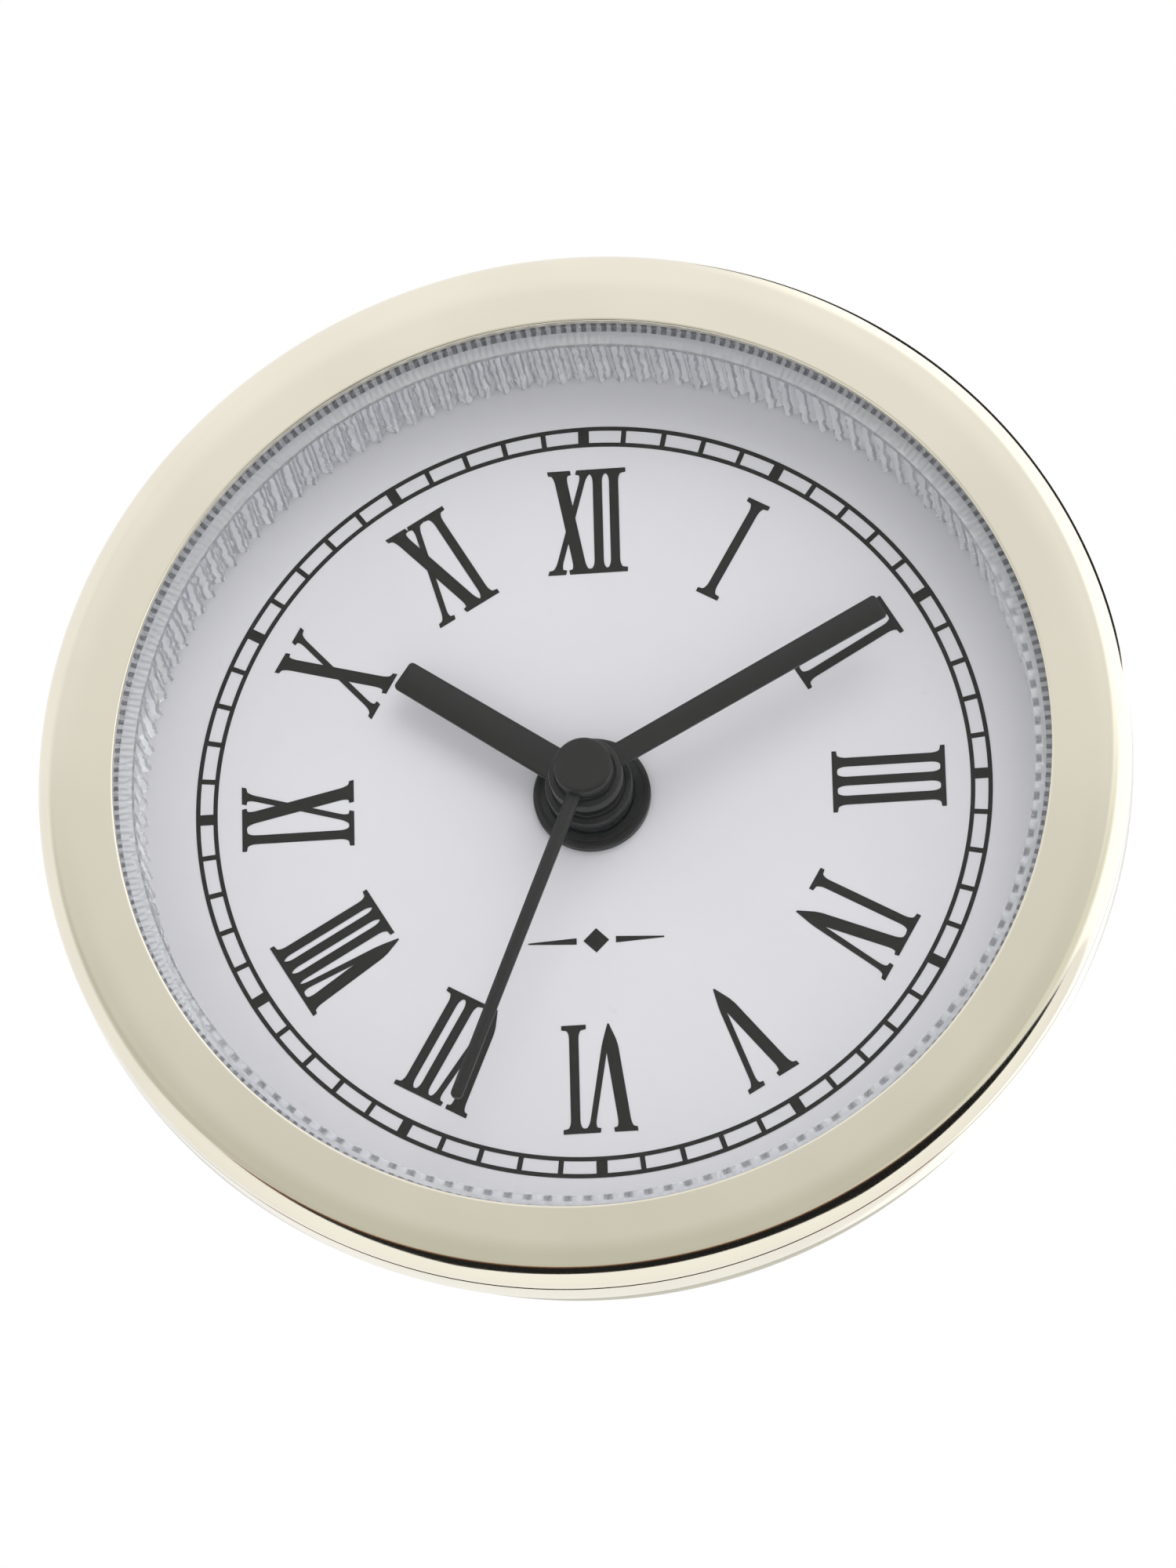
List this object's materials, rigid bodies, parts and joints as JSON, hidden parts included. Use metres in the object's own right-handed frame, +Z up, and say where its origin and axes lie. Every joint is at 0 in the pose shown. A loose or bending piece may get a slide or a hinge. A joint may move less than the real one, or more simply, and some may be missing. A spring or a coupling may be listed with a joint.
{
  "type": "clock insert",
  "caption": "Round quartz clock insert with a metal bezel, white dial, baton hands and a small battery movement, pressed into a hole in a panel.",
  "frame": {"origin": "centre of the bezel's seat, on the plane of the flat back of the flange that rests on the panel", "axes": "+Y through the clock from the dial to the back, +Z up to twelve o'clock, +X to three o'clock"},
  "size_m": [0.072, 0.0208, 0.072],
  "materials": {
    "bezel_metal": "polished pale champagne gold",
    "gasket_rubber": "milky translucent soft rubber",
    "window_glass": "clear flat mineral glass",
    "clear_plastic": "clear moulded plastic with fine flutes",
    "dial_white": "cool white satin print ground",
    "print_black": "black screen print",
    "hand_black": "satin black lacquer",
    "case_plastic": "fine matt moulded plastic",
    "black_plastic": "fine spark-eroded black plastic",
    "gear_plastic": "natural acetal",
    "brass": "turned",
    "steel": "bright nickel-plated",
    "cell_steel": "bright drawn steel can",
    "magnet": "dull sintered",
    "copper_wire": "enamelled fine wire",
    "board_green": "solder resist",
    "chip_resin": "cured black resin"
  },
  "bodies": {
    "housing": {"bezel": "bezel_metal", "gasket": "gasket_rubber", "window": "window_glass", "spacer_ring": "clear_plastic", "dial": "dial_white", "centre_nut": "hand_black", "dial_carrier": "case_plastic", "case_cup": "case_plastic", "case_screw_1": "steel", "case_screw_2": "steel", "case_screw_3": "steel", "case_screw_4": "steel", "movement_base": "black_plastic", "movement_cover": "black_plastic", "cover_screw_1": "steel", "cover_screw_2": "steel", "cover_screw_3": "steel", "cover_screw_4": "steel", "train_bridge": "black_plastic", "stator": "steel", "coil_core": "steel", "coil_bobbin": "gear_plastic", "coil_winding": "copper_wire", "circuit_board": "board_green", "chip": "chip_resin", "quartz_crystal": "cell_steel", "negative_contact": "steel", "positive_contact": "steel", "button_cell": "cell_steel"},
    "hour": {"hour_hand": "hand_black", "hour_wheel": "gear_plastic"},
    "minute": {"minute_hand": "hand_black", "minute_pipe": "brass"},
    "reversing": {"reversing_wheel": "gear_plastic"},
    "setting_knob": {"set_knob": "black_plastic", "set_stem": "gear_plastic"},
    "second": {"second_hand": "hand_black", "second_ferrule": "brass", "second_wheel": "gear_plastic"},
    "third": {"third_wheel": "gear_plastic"},
    "centre": {"centre_wheel": "gear_plastic", "clutch_spring": "steel"},
    "step": {"step_wheel": "gear_plastic"},
    "rotor": {"rotor_magnet": "magnet", "rotor_staff": "gear_plastic"},
    "cell_door": {"battery_door": "black_plastic"}
  },
  "joints": [
    {"name": "minute_turn", "type": "hinge", "parent": "housing", "child": "minute", "pos_m": [0, 0.008, 0], "axis": [0, 1, 0], "continuous": true},
    {"name": "hour_turn", "type": "hinge", "parent": "housing", "child": "hour", "pos_m": [0, 0.008, 0], "axis": [0, 1, 0], "continuous": true},
    {"name": "reversing_turn", "type": "hinge", "parent": "housing", "child": "reversing", "pos_m": [0, 0.008, 0.0048], "axis": [0, 1, 0], "continuous": true},
    {"name": "knob_turn", "type": "hinge", "parent": "housing", "child": "setting_knob", "pos_m": [0, 0.008, 0.0096], "axis": [0, 1, 0], "continuous": true},
    {"name": "second_turn", "type": "hinge", "parent": "housing", "child": "second", "pos_m": [0, 0.008, 0], "axis": [0, 1, 0], "continuous": true},
    {"name": "third_turn", "type": "hinge", "parent": "housing", "child": "third", "pos_m": [-0.00442, 0.008, 0.00255], "axis": [0, 1, 0], "continuous": true},
    {"name": "centre_turn", "type": "hinge", "parent": "housing", "child": "centre", "pos_m": [0, 0.008, 0], "axis": [0, 1, 0], "continuous": true},
    {"name": "step_turn", "type": "hinge", "parent": "housing", "child": "step", "pos_m": [0.0043, 0.008, -0.00301], "axis": [0, 1, 0], "continuous": true},
    {"name": "rotor_turn", "type": "hinge", "parent": "housing", "child": "rotor", "pos_m": [0.00615, 0.008, -0.00809], "axis": [0, 1, 0], "continuous": true},
    {"name": "door_lift", "type": "slide", "parent": "housing", "child": "cell_door", "axis": [0, 1, 0], "range_m": [0, 0.012]}
  ],
  "couplings": [
    {"joint": "hour_turn", "follows": "minute_turn", "ratio": 0.083333},
    {"joint": "reversing_turn", "follows": "minute_turn", "ratio": -0.33333},
    {"joint": "knob_turn", "follows": "minute_turn", "ratio": 1},
    {"joint": "third_turn", "follows": "second_turn", "ratio": -0.13333},
    {"joint": "centre_turn", "follows": "second_turn", "ratio": 0.016667},
    {"joint": "step_turn", "follows": "second_turn", "ratio": -6},
    {"joint": "rotor_turn", "follows": "second_turn", "ratio": 30}
  ]
}
